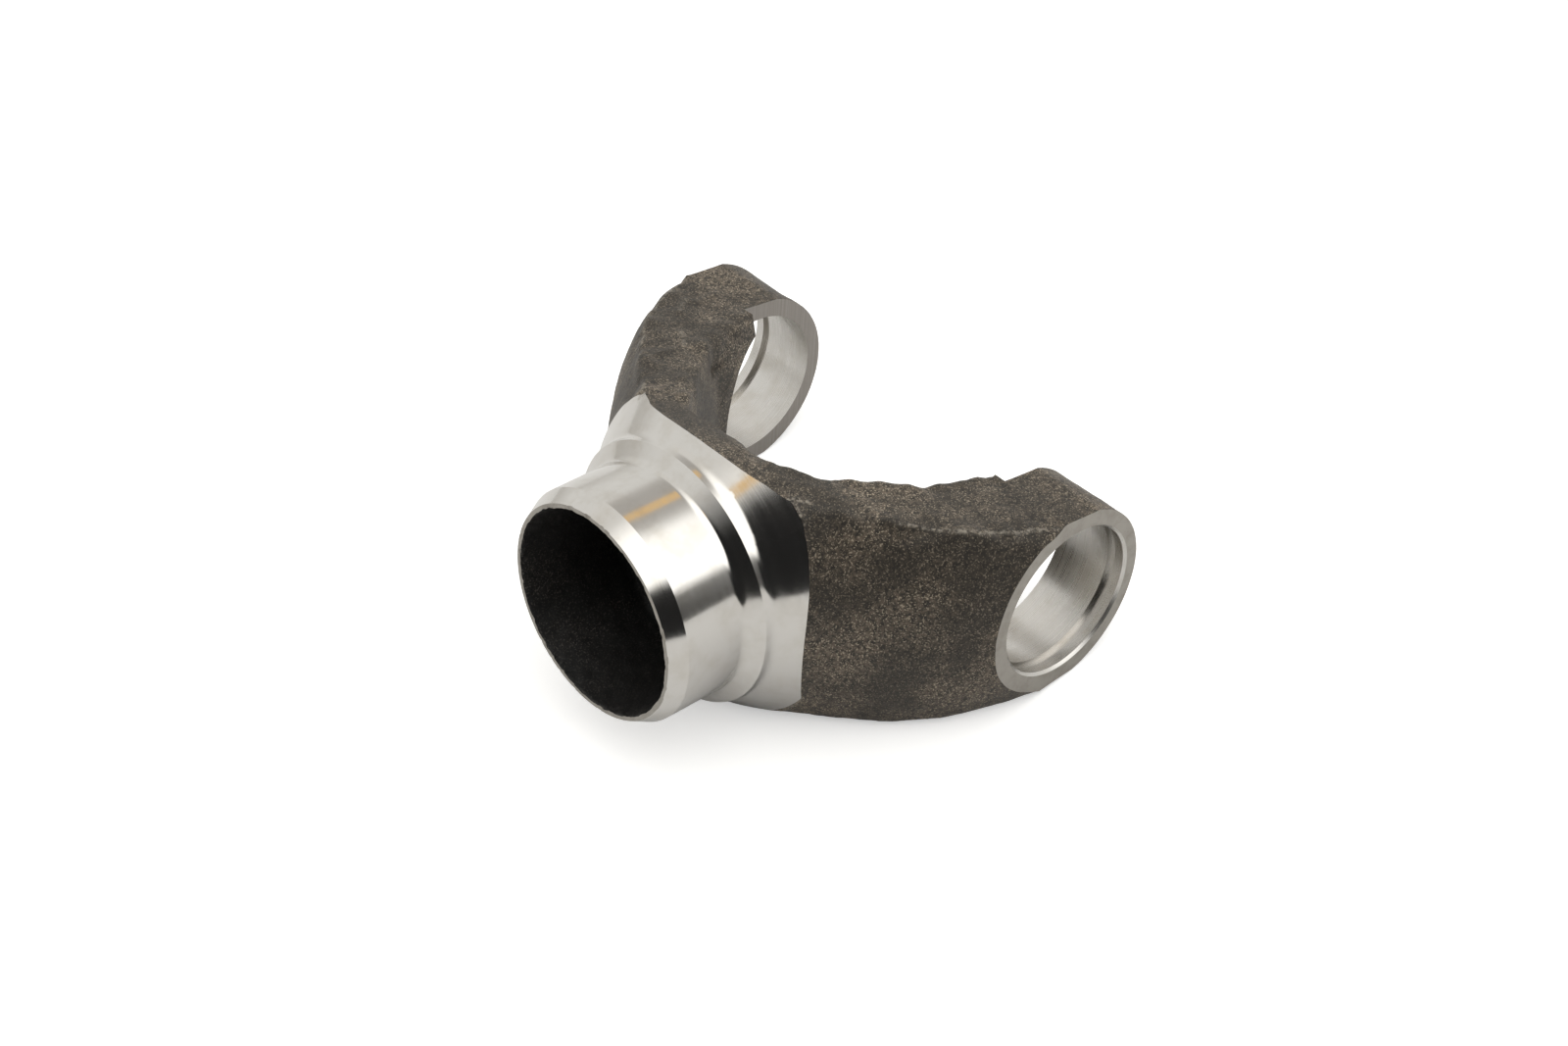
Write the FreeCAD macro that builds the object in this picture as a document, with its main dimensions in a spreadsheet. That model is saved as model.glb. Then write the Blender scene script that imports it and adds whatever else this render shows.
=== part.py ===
import FreeCAD, Part
import os
import re
import Sketcher

# One-piece forged weld yoke: a turned tube seat on the nose, two arms, a cross bearing bore in each ear.
# Origin at the cross centre; +X from the nose toward the ears, Y along the bearing bore, +Z up as it lies.

# Driving dimensions, in mm; angles in degrees. Places along the tube axis are measured from the bore axis.
SIZES = {
    # cross bearing bore and ears
    "bore_dia": 30.18,  # bearing cup bore
    "width_over_ears": 100.2,  # outer faced ends of the ears
    "gap_between_ears": 69.2,  # faced inner sides of the ears
    "ring_groove_wide": 1.7,  # one ring groove, along the bore
    "ring_groove_deep": 1.15,  # one ring groove, past the bore
    "ring_groove_lip": 2.4,  # outer faced end of the ear to its ring groove
    "mouth_break": 0.5,  # edge break at the outer mouth of each bore
    "lug_radius": 19.2,  # round end of the ear, seen along the bore
    "lug_shift": 1.1,  # centre of the round end, behind the bore axis
    # turned nose, lengths along the tube axis
    "turning_stock": 1.0,  # stock of the stub past the shoulder, all turned off
    "nose_to_bore": 68.6,  # rim of the nose to the bore axis
    "rim_dia": 41.4,  # outer edge of the rim
    "lead_long": 3.35,  # lead chamfer
    "seat_dia": 44.8,  # tube seat
    "seat_long": 12.7,  # tube seat
    "bevel_long": 2.3,  # weld bevel
    "shoulder_dia": 50.8,  # shoulder, the outside size of the tube
    "land_long": 1.9,  # land behind the weld bevel
    "flare_angle": 39.0,  # flare from the tube axis, degrees
    "flare_rise": 5.7,  # flare past the shoulder, where the turning stops
    # forged hollow in the nose
    "rim_wall": 0.9,  # wall left at the rim
    "hollow_depth": 21.5,  # rim to the bottom of the hollow
    "hollow_draft": 7.0,  # draft of the wall of the hollow, degrees
    # forged throat between the arms, at the trim edges and at mid height
    "throat_floor": 37.0,  # floor of the throat, behind the bore axis
    "throat_flat": 11.6,  # half width of the floor
    "floor_crown": 1.5,  # floor of the throat, nearer the bore axis at mid height
    "throat_slant": 2.6,  # slanted corner between the floor and the flank, along the tube axis
    "slant_reach": 3.0,  # slanted corner, across the tube axis
    "knee_back": 15.5,  # knee of the flank, behind the bore axis
    "knee_stock": 4.4,  # flank inside the faced side of the ear, at the knee
    "knee_ease": 2.2,  # slanted stretch at the knee, each way along the tube axis
    "knee_fall": 0.55,  # slanted stretch at the knee, its inner end nearer the middle
    "flank_crown": 4.8,  # flank nearer the middle at mid height
    "front_stock": 0.6,  # flank inside the faced side of the ear, at the bore axis
    "throat_top": 24.0,  # height where the throat has its full width
    "step_back": 3.0,  # end of the faced side, behind the bore axis
    # forged envelope: six stations along the tube axis, each a four-sided outline with crowned sides
    "neck_back": 50.0,  # neck station, behind the bore axis
    "neck_edge": 18.8,  # neck, trim edge from the middle
    "neck_side": 26.6,  # neck, crown of the side from the middle
    "neck_rise": 24.8,  # neck, height of the trim edge
    "neck_crown": 28.6,  # neck, height of the crown
    "neck_lift": 1.2,  # neck, underside nearer the axis than the top
    "root_back": 42.0,  # root station, behind the bore axis
    "root_edge": 19.2,  # root, trim edge from the middle
    "root_side": 30.2,  # root, crown of the side from the middle
    "root_rise": 24.4,  # root, height of the trim edge
    "root_crown": 26.6,  # root, height of the crown
    "root_belly": 0.2,  # root, underside lower than the top is high
    "elbow_back": 33.0,  # elbow station, behind the bore axis
    "elbow_edge": 29.4,  # elbow, trim edge from the middle
    "elbow_side": 38.6,  # elbow, crown of the side from the middle
    "elbow_rise": 22.9,  # elbow, height of the trim edge
    "elbow_crown": 23.8,  # elbow, height of the crown
    "elbow_belly": 1.5,  # elbow, underside lower than the top is high
    "cheek_back": 19.0,  # cheek station, behind the bore axis
    "cheek_drop": 6.7,  # cheek, trim edge inside the faced end
    "cheek_draw": 0.4,  # cheek, crown of the side inside the faced end
    "cheek_rise": 20.7,  # cheek, height of the trim edge
    "cheek_crown": 21.4,  # cheek, height of the crown
    "cheek_belly": 0.9,  # cheek, underside lower than the top is high
    "ear_back": 3.0,  # ear station, behind the bore axis
    "ear_edge_stock": 0.4,  # ear, trim edge past the faced end
    "ear_stock": 5.5,  # ear, crown of the side past the faced end
    "tip_front": 22.0,  # tip station, ahead of the bore axis
    "tip_edge_stock": 4.0,  # tip, trim edge past the faced end
    "tip_stock": 7.0,  # tip, crown of the side past the faced end
    "ear_crown": 0.3,  # ear and tip, crown above the trim edge
}

doc = FreeCAD.newDocument("yoke")
sheet = doc.addObject("Spreadsheet::Sheet", "dims")
for row, (alias, amount) in enumerate(SIZES.items(), start=1):
    sheet.set("A%d" % row, alias)
    sheet.set("B%d" % row, str(amount))
    sheet.setAlias("B%d" % row, alias)
doc.recompute()

MARGIN = 12.0  # how far a cutting outline runs past the stock
OVER = 1.3  # height of the throat's end sections, as a share of throat_top
FADE = 1 - OVER ** 2  # what a crown that follows a parabola comes to at that height
TOUCH = 0.01  # how near an edge is to the place it is looked for
FLOOR_SHARE = 0.25  # share of the flank's crown by which the floor narrows too

# places as expressions of the sizes: along the tube axis from the rim back to the forging, and across it
RIM = "-nose_to_bore"
LEAD_END = RIM + " + lead_long"
SEAT_END = LEAD_END + " + seat_long"
BEVEL_END = SEAT_END + " + bevel_long"
LAND_END = BEVEL_END + " + land_long"
FLARE_END = LAND_END + " + flare_rise / tan(flare_angle * 1deg)"
FRONT = "tip_front + %g" % MARGIN
HALF_WIDTH = "width_over_ears / 2"
HALF_GAP = "gap_between_ears / 2"


def cells(expression):
    """An expression with each size's name in the form that the sheet takes, such as dims.bore_dia."""
    return re.sub(r"\b([a-z]+(?:_[a-z]+)+)\b", r"dims.\1", expression)


def value(expression):
    """What an expression of the sizes comes to now."""
    return float(sheet.evalExpression(cells(expression)))


def flat(a, b):
    return FreeCAD.Vector(a, b, 0)


def sketch_on(body, role, name, offset=""):
    """A sketch on one of the body's own planes, or at an offset from it."""
    sk = body.newObject("Sketcher::SketchObject", name)
    sk.AttachmentSupport = ([f for f in body.Origin.OriginFeatures if f.Role == role][0], [""])
    sk.MapMode = "FlatFace"
    if offset:
        sk.setExpression("AttachmentOffset.Base.z", cells(offset))
    return sk


def dimension(sk, kind, refs, name, expression):
    """One named constraint bound to the sheet; refs are the geometry and point numbers."""
    index = sk.addConstraint(Sketcher.Constraint(kind, *refs, value(expression)))
    sk.renameConstraint(index, name)
    sk.setExpression("Constraints." + name, cells(expression))


def place_point(sk, geo, pos, name, x, y):
    """Fix a point by its distances from the sketch's origin, or on an axis where one is "0"."""
    if x == "0":
        sk.addConstraint(Sketcher.Constraint("PointOnObject", geo, pos, -2))
    else:
        dimension(sk, "DistanceX", (-1, 1, geo, pos), name + "x", x)
    if y == "0":
        sk.addConstraint(Sketcher.Constraint("PointOnObject", geo, pos, -1))
    else:
        dimension(sk, "DistanceY", (-1, 1, geo, pos), name + "y", y)


def join(sk, first, count):
    """Close a ring of count sides, each one's end on the next one's start."""
    for i in range(count):
        sk.addConstraint(Sketcher.Constraint("Coincident", first + i, 2, first + (i + 1) % count, 1))


def outline(sk, corners):
    """A closed outline of straight sides through corners given as pairs of expressions."""
    points = [flat(value(x), value(y)) for x, y in corners]
    first = sk.GeometryCount
    count = len(corners)
    for i in range(count):
        sk.addGeometry(Part.LineSegment(points[i], points[(i + 1) % count]), False)
    join(sk, first, count)
    for i, (x, y) in enumerate(corners):
        place_point(sk, first + i, 1, "p%d" % (first + i), x, y)


def circle(sk, radius):
    """A circle about the sketch's origin."""
    sk.addGeometry(Part.Circle(flat(0, 0), FreeCAD.Vector(0, 0, 1), value(radius)), False)
    sk.addConstraint(Sketcher.Constraint("Coincident", 0, 3, -1, 1))
    dimension(sk, "Radius", (0,), "radius", radius)


def mirrored(corners):
    """The same corners on the other side of the sketch's X axis."""
    return [(x, "-(" + y + ")") for x, y in corners]


def crowned_section(body, name, at, edge, side, rise, crown, belly):
    """A station of the forging: four crowned sides that meet in the trim edges. Sizes are expressions,
    and belly is what the underside adds to both heights."""
    sk = sketch_on(body, "YZ_Plane", name, at)
    deep = rise + " + (" + belly + ")"
    e, s, r, c, d = [value(text) for text in (edge, side, rise, crown, deep)]
    corners = ((e, r), (-e, r), (-e, -d), (e, -d))
    middles = ((0, c), (-s, (r - d) / 2), (0, r - c - d), (s, (r - d) / 2))
    for i in range(4):
        ends = corners[i], corners[(i + 1) % 4]
        sk.addGeometry(Part.Arc(flat(*ends[0]), flat(*middles[i]), flat(*ends[1])), False)
    join(sk, 0, 4)
    sk.addConstraint(Sketcher.Constraint("Symmetric", 0, 1, 1, 1, -2))
    sk.addConstraint(Sketcher.Constraint("Symmetric", 2, 1, 3, 1, -2))
    place_point(sk, 0, 1, "top_edge", edge, rise)
    place_point(sk, 3, 1, "low_edge", edge, "-(" + deep + ")")
    arch = "((%s)^2 + (%s)^2) / 2 / (%s)"
    top_bow = crown + " - (" + rise + ")"
    side_bow = side + " - (" + edge + ")"
    dimension(sk, "Radius", (0,), "top", arch % (edge, top_bow, top_bow))
    dimension(sk, "Radius", (1,), "flank", arch % ("(" + rise + " + " + deep + ") / 2", side_bow, side_bow))
    sk.addConstraint(Sketcher.Constraint("Equal", 0, 2))
    sk.addConstraint(Sketcher.Constraint("Equal", 1, 3))
    return sk


def through_cut(body, sk, name):
    """Cut a sketch right through the part, both ways from its plane."""
    cut = body.newObject("PartDesign::Pocket", name)
    cut.Profile = sk
    cut.Type = "ThroughAll"
    cut.Midplane = True
    doc.recompute()
    return cut


def turned_cut(body, sk, axis_role, name):
    """Cut a sketch turned about one of the body's axes."""
    cut = body.newObject("PartDesign::Groove", name)
    cut.Profile = sk
    cut.ReferenceAxis = ([f for f in body.Origin.OriginFeatures if f.Role == axis_role][0], [""])
    cut.Angle = 360
    doc.recompute()
    return cut


def bore_mouths(feature):
    """Names of the circles where the bore leaves the outer faces."""
    names = []
    for i, edge in enumerate(feature.Shape.Edges):
        if isinstance(edge.Curve, Part.Circle):
            off_face = abs(abs(edge.Curve.Center.y) - value(HALF_WIDTH))
            off_size = abs(edge.Curve.Radius - value("bore_dia / 2"))
            if max(off_face, off_size) < TOUCH:
                names.append("Edge%d" % (i + 1))
    if not names:
        raise RuntimeError("the bore has no mouth in an outer face")
    return names


def forged_blank(body):
    """The forging before machining: arms spread from the neck to the ears, with a stub for the nose."""
    ear_heights = ("lug_radius - ear_crown", "lug_radius", "0")
    stations = [
        crowned_section(body, "neck", "-neck_back", "neck_edge", "neck_side", "neck_rise", "neck_crown",
                        "-neck_lift"),
        crowned_section(body, "root", "-root_back", "root_edge", "root_side", "root_rise", "root_crown",
                        "root_belly"),
        crowned_section(body, "elbow", "-elbow_back", "elbow_edge", "elbow_side", "elbow_rise",
                        "elbow_crown", "elbow_belly"),
        crowned_section(body, "cheek", "-cheek_back", HALF_WIDTH + " - cheek_drop",
                        HALF_WIDTH + " - cheek_draw", "cheek_rise", "cheek_crown", "cheek_belly"),
        crowned_section(body, "ear", "-ear_back", HALF_WIDTH + " + ear_edge_stock",
                        HALF_WIDTH + " + ear_stock", *ear_heights),
        crowned_section(body, "tip", "tip_front", HALF_WIDTH + " + tip_edge_stock",
                        HALF_WIDTH + " + tip_stock", *ear_heights),
    ]
    doc.recompute()
    arms = body.newObject("PartDesign::AdditiveLoft", "arms")
    arms.Profile = stations[0]
    arms.Sections = stations[1:]
    arms.Ruled = False
    doc.recompute()
    disc = sketch_on(body, "YZ_Plane", "stub_outline", RIM)
    circle(disc, "shoulder_dia / 2 + turning_stock")
    stub = body.newObject("PartDesign::Pad", "stub")
    stub.Profile = disc
    stub.setExpression("Length", cells("nose_to_bore - root_back"))
    doc.recompute()


def throat_section(body, name, height, shape):
    """The throat's outline at one height; shape is 1 where the crowns are full and 0 at the trim edges."""
    flank_in = "flank_crown * %g" % shape
    side = HALF_GAP + " - " + flank_in
    floor = "-throat_floor + floor_crown * %g" % shape
    corner = "throat_flat - %g * " % FLOOR_SHARE + flank_in
    half = [
        (FRONT, side + " - front_stock"),
        ("-step_back", side + " - front_stock"),
        ("-knee_back + knee_ease", side + " - knee_stock"),
        ("-knee_back - knee_ease", side + " - knee_stock - knee_fall * knee_ease"),
        (floor + " + throat_slant", corner + " + slant_reach"),
        (floor, corner),
    ]
    sk = sketch_on(body, "XY_Plane", name, height)
    outline(sk, half + mirrored(half[::-1]))
    return sk


def throat(body):
    """The open space between the arms: forged floor and crowned flanks, then the faced sides of the ears."""
    top = "throat_top * %g" % OVER
    sections = [
        throat_section(body, "throat_low", "-" + top, FADE),
        throat_section(body, "throat_mid", "", 1),
        throat_section(body, "throat_high", top, FADE),
    ]
    doc.recompute()
    cut = body.newObject("PartDesign::SubtractiveLoft", "throat")
    cut.Profile = sections[0]
    cut.Sections = sections[1:]
    doc.recompute()
    faced = [("-step_back", HALF_GAP), (FRONT, HALF_GAP)]
    sk = sketch_on(body, "XY_Plane", "inner_facing_outline")
    outline(sk, faced + mirrored(faced[::-1]))
    through_cut(body, sk, "inner_facing")


def lug_rounding(body):
    """Round the ears off about the bore: everything ahead of the half circle goes."""
    sk = sketch_on(body, "XZ_Plane", "lug_outline")
    over = "lug_radius + %g" % MARGIN
    upper = [("-lug_shift", "lug_radius"), ("-lug_shift", over), (FRONT, over)]
    corners = upper + mirrored(upper[::-1])
    points = [flat(value(x), value(y)) for x, y in corners]
    for a, b in zip(points, points[1:]):
        sk.addGeometry(Part.LineSegment(a, b), False)
    end = flat(value("lug_radius - lug_shift"), 0)
    sk.addGeometry(Part.Arc(points[-1], end, points[0]), False)
    arc = len(corners) - 1
    join(sk, 0, arc + 1)
    for i, (x, y) in enumerate(corners):
        place_point(sk, *((i, 1) if i < arc else (arc - 1, 2)), "p%d" % i, x, y)
    dimension(sk, "DistanceX", (-1, 1, arc, 3), "lug_centre", "-lug_shift")
    through_cut(body, sk, "lug_rounding")


def outer_facing(body):
    """Face the outer ends of both ears."""
    back, far = "-cheek_back - %g" % MARGIN, HALF_WIDTH + " + tip_stock + %g" % MARGIN
    end = [(back, HALF_WIDTH), (FRONT, HALF_WIDTH), (FRONT, far), (back, far)]
    sk = sketch_on(body, "XY_Plane", "facing_outline")
    outline(sk, end)
    outline(sk, mirrored(end))
    through_cut(body, sk, "facing")


def turned_nose(body):
    """Turn the nose: lead chamfer, tube seat, weld bevel, land and the flare that runs into the forging."""
    rim, seat, shoulder = "rim_dia / 2", "seat_dia / 2", "shoulder_dia / 2"
    flare = shoulder + " + flare_rise"
    clear = flare + " + %g" % (2 * MARGIN)
    ahead = RIM + " - %g" % MARGIN
    sk = sketch_on(body, "XY_Plane", "turning_outline")
    outline(sk, [
        (ahead, rim),
        (RIM, rim),
        (LEAD_END, seat),
        (SEAT_END, seat),
        (BEVEL_END, shoulder),
        (LAND_END, shoulder),
        (FLARE_END, flare),
        (FLARE_END, clear),
        (ahead, clear),
    ])
    turned_cut(body, sk, "X_Axis", "turning")


def nose_hollow(body):
    """The forged hollow in the nose, drafted, with a flat bottom."""
    mouth = "rim_dia / 2 - rim_wall"
    slope = " * tan(hollow_draft * 1deg)"
    bottom = RIM + " + hollow_depth"
    ahead = RIM + " - %g" % MARGIN
    sk = sketch_on(body, "XY_Plane", "hollow_outline")
    outline(sk, [
        (ahead, "0"),
        (bottom, "0"),
        (bottom, mouth + " - hollow_depth" + slope),
        (ahead, mouth + " + %g" % MARGIN + slope),
    ])
    turned_cut(body, sk, "X_Axis", "hollow")


def bearing_bore(body):
    """The bore through both ears, the edge breaks at its outer mouths, and the ring grooves near them."""
    sk = sketch_on(body, "XZ_Plane", "bore_outline")
    circle(sk, "bore_dia / 2")
    bored = through_cut(body, sk, "bore")
    breaks = body.newObject("PartDesign::Chamfer", "mouth_breaks")
    breaks.Base = (bored, bore_mouths(bored))
    breaks.setExpression("Size", cells("mouth_break"))
    doc.recompute()

    outer = HALF_WIDTH + " - ring_groove_lip"
    inner = outer + " - ring_groove_wide"
    shallow, deep = "bore_dia / 2 - ring_groove_deep", "bore_dia / 2 + ring_groove_deep"
    groove = [(shallow, inner), (deep, inner), (deep, outer), (shallow, outer)]
    grooves = sketch_on(body, "XY_Plane", "groove_outline")
    outline(grooves, groove)
    outline(grooves, mirrored(groove))
    turned_cut(body, grooves, "Y_Axis", "ring_grooves")


def weld_yoke():
    """The whole yoke, one body."""
    body = doc.addObject("PartDesign::Body", "weld_yoke")
    body.Label = "weld_yoke"
    forged_blank(body)
    throat(body)
    lug_rounding(body)
    outer_facing(body)
    turned_nose(body)
    nose_hollow(body)
    bearing_bore(body)
    doc.recompute()
    return body


def check_all():
    """Stop if any object is in error or the finished shape isn't one valid solid."""
    for obj in doc.Objects:
        if "Invalid" in obj.State or "Error" in obj.State:
            raise RuntimeError("%s is in error: %s" % (obj.Name, obj.State))
        if obj.TypeId.startswith("PartDesign") and obj.Shape.isNull():
            raise RuntimeError("%s has no shape" % obj.Name)


part = weld_yoke()
check_all()
shape = part.Shape
if shape.isNull() or not shape.isValid() or len(shape.Solids) != 1:
    raise RuntimeError("the yoke is not one valid solid")
os.makedirs("parts", exist_ok=True)
shape.exportStep("parts/" + part.Label + ".step")
box = shape.BoundBox
print("volume %.1f mm3" % shape.Volume)
print("box", [round(v, 3) for v in (box.XMin, box.YMin, box.ZMin, box.XMax, box.YMax, box.ZMax)])
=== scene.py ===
import math

import bpy
import numpy as np
from mathutils import Matrix, Vector, kdtree, noise


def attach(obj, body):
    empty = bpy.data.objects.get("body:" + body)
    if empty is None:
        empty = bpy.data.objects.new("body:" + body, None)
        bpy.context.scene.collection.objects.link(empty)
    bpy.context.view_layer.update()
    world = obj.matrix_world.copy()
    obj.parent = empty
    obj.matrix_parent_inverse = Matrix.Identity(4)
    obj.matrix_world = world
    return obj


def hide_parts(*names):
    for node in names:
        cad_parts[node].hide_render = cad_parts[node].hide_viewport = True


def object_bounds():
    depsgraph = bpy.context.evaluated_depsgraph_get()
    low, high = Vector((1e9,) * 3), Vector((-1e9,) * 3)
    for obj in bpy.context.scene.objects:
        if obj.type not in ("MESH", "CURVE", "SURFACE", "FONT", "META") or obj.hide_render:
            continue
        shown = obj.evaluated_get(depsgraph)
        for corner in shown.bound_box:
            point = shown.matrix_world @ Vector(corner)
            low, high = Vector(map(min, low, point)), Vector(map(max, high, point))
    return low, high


NODE = "weld_yoke"
MM = 0.001

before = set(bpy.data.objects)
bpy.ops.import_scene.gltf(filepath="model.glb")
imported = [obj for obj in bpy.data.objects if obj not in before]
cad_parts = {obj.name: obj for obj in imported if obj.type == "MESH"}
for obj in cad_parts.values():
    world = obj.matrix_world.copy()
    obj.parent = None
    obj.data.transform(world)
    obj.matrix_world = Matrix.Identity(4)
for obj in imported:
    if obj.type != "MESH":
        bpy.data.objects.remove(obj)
bpy.context.view_layer.update()
cad_box = [list(corner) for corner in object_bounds()]

# Machined sizes, mm. The turned nose is a profile of (x, radius) about the X axis.
BORE_R = 15.09
GROOVE_R = 16.24
FACE_Y = 50.1
INNER_Y = 34.6
STEP_X = -3.0
HOLLOW_X = -47.1
RIM_X, RIM_R = -68.6, 20.7
LEAD_X = -65.25
SEAT_X, SEAT_R = -52.55, 22.4
BEVEL_X, LAND_R = -50.25, 25.4
LAND_X = -48.35
FLARE_X, FLARE_R = -41.31, 31.1
TURNED = [(RIM_X, RIM_R), (LEAD_X, SEAT_R), (SEAT_X, SEAT_R), (BEVEL_X, LAND_R), (LAND_X, LAND_R),
          (FLARE_X, FLARE_R)]
# Feet cut with a round tool: place, slope of the surface that rises from it, tool radius.
TOOL_FEET = [(SEAT_X, (LAND_R - SEAT_R) / (BEVEL_X - SEAT_X), 1.6),
             (LAND_X, (FLARE_R - LAND_R) / (FLARE_X - LAND_X), 2.6)]
# Where the surfaces lie along Y, mm.
GROOVE_FROM, GROOVE_TO = 45.9, 47.8
STEP_FROM = 32
BORE_REACH = 6
NEAR_BORE = 0.6
HOLLOW_GAP = 0.8
FACING_FRONT = 0.3
TOUCH = 0.03

HOLLOW, RIM, NOSE, BORE, GROOVE, FACE, INNER, SKIN = range(8)
ZONES = 8


def cad_mesh():
    """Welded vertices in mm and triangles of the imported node."""
    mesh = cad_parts[NODE].data
    points = np.empty(len(mesh.vertices) * 3)
    mesh.vertices.foreach_get("co", points)
    points = points.reshape(-1, 3) / MM
    mesh.calc_loop_triangles()
    tris = np.empty(len(mesh.loop_triangles) * 3, dtype=np.int64)
    mesh.loop_triangles.foreach_get("vertices", tris)
    _, first, back = np.unique(points.round(3), axis=0, return_index=True, return_inverse=True)
    tris = back.reshape(-1)[tris].reshape(-1, 3)
    whole = (tris[:, 0] != tris[:, 1]) & (tris[:, 1] != tris[:, 2]) & (tris[:, 2] != tris[:, 0])
    return points[first], tris[whole]


def corner_radius(x):
    """Radius of the turned nose at x, with sharp corners."""
    return np.interp(x, [p[0] for p in TURNED], [p[1] for p in TURNED])


def turned_radius(x):
    """Radius of the turned nose at x, with the tool's radius at the feet of the bevel and the flare."""
    r = corner_radius(x)
    for foot, slope, tool in TOOL_FEET:
        turn = math.atan(slope)
        along = x - (foot - tool * math.tan(turn / 2))
        on_arc = (along > 0) & (along < tool * math.sin(turn))
        arc = corner_radius(foot) + tool - np.sqrt(np.maximum(tool ** 2 - along ** 2, 0))
        r = np.where(on_arc, arc, r)
    return r


def triangle_normals(points, tris):
    a, b, c = (points[tris[:, i]] for i in range(3))
    n = np.cross(b - a, c - a)
    return n / np.maximum(np.linalg.norm(n, axis=1), 1e-12)[:, None]


def zones_of(points, tris):
    """The surface that each triangle belongs to."""
    x, y, z = points.T
    about_x = np.hypot(y, z)
    about_y = np.hypot(x, z)
    normal = triangle_normals(points, tris)
    middle = points[tris].mean(axis=1)
    span = np.abs(middle[:, 1])

    def all_of(test):
        return test[tris].all(axis=1)

    zone = np.full(len(tris), SKIN)
    near_wall = all_of(np.abs(about_y - BORE_R) < NEAR_BORE) & (span > INNER_Y - BORE_REACH)
    zone[near_wall] = BORE
    in_groove = all_of(about_y > BORE_R - TOUCH) & all_of(about_y < GROOVE_R + TOUCH)
    in_groove &= (span > GROOVE_FROM) & (span < GROOVE_TO) & ~all_of(np.abs(about_y - BORE_R) < TOUCH)
    zone[in_groove] = GROOVE
    zone[all_of(np.abs(np.abs(y) - FACE_Y) < TOUCH)] = FACE
    zone[all_of(np.abs(np.abs(y) - INNER_Y) < TOUCH)] = INNER
    zone[all_of(np.abs(x - STEP_X) < TOUCH) & (span > STEP_FROM)] = INNER
    nose = all_of(np.abs(about_x - corner_radius(x)) < TOUCH) & all_of(x < FLARE_X + TOUCH)
    zone[nose & (normal[:, 0] < FACING_FRONT)] = NOSE
    zone[all_of(about_x < RIM_R - HOLLOW_GAP) & all_of(x < HOLLOW_X + TOUCH)] = HOLLOW
    zone[all_of(x < RIM_X + TOUCH)] = RIM
    return zone


def edge_table(tris):
    """Unique edges, and for each triangle the numbers of its edges 0-1, 1-2 and 2-0."""
    ends = np.sort(tris[:, [[0, 1], [1, 2], [2, 0]]].reshape(-1, 2), axis=1)
    key = ends[:, 0] * (tris.max() + 1) + ends[:, 1]
    _, first, back = np.unique(key, return_index=True, return_inverse=True)
    return ends[first], back.reshape(-1, 3)


def edge_sides(of_tri):
    """The two triangles on each edge."""
    order = np.argsort(of_tri.reshape(-1), kind="stable")
    return (order // 3).reshape(-1, 2)


def split_once(points, tris, zone, limit):
    """Halves every edge longer than its limit and splits the triangles to suit."""
    edges, of_tri = edge_table(tris)
    length = np.linalg.norm(points[edges[:, 0]] - points[edges[:, 1]], axis=1)
    middle = points[edges].mean(axis=1)
    finest = np.full(len(edges), np.inf)
    np.minimum.at(finest, of_tri.reshape(-1), np.repeat(limit(points[tris].mean(axis=1), zone), 3))
    long = length > finest
    number = np.full(len(edges), -1)
    number[long] = len(points) + np.arange(long.sum())
    points = np.vstack([points, middle[long]])
    cut = number[of_tri]
    count = (cut >= 0).sum(axis=1)
    out, out_zone = [tris[count == 0]], [zone[count == 0]]
    for turn in range(3):
        a, b, c = (np.roll(tris, -turn, axis=1)[:, i] for i in range(3))
        ab, bc, ca = (np.roll(cut, -turn, axis=1)[:, i] for i in range(3))
        one = (count == 1) & (ab >= 0)
        out += [np.c_[a, ab, c][one], np.c_[ab, b, c][one]]
        out_zone += [zone[one]] * 2
        two = (count == 2) & (ca < 0)
        out.append(np.c_[ab, b, bc][two])
        out_zone.append(zone[two])
        near = np.linalg.norm(points[a] - points[bc], axis=1) < np.linalg.norm(points[ab] - points[c], axis=1)
        out += [np.c_[a, ab, bc][two & near], np.c_[a, bc, c][two & near]]
        out_zone += [zone[two & near]] * 2
        out += [np.c_[a, ab, c][two & ~near], np.c_[ab, bc, c][two & ~near]]
        out_zone += [zone[two & ~near]] * 2
    a, b, c = tris.T
    ab, bc, ca = cut.T
    every = count == 3
    out += [np.c_[a, ab, ca][every], np.c_[ab, b, bc][every]]
    out += [np.c_[ca, bc, c][every], np.c_[ab, bc, ca][every]]
    out_zone += [zone[every]] * 4
    return points, np.vstack(out), np.concatenate(out_zone), bool(long.any())


def refined(points, tris, zone, limit):
    again = True
    while again:
        points, tris, zone, again = split_once(points, tris, zone, limit)
    return points, tris, zone


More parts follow.
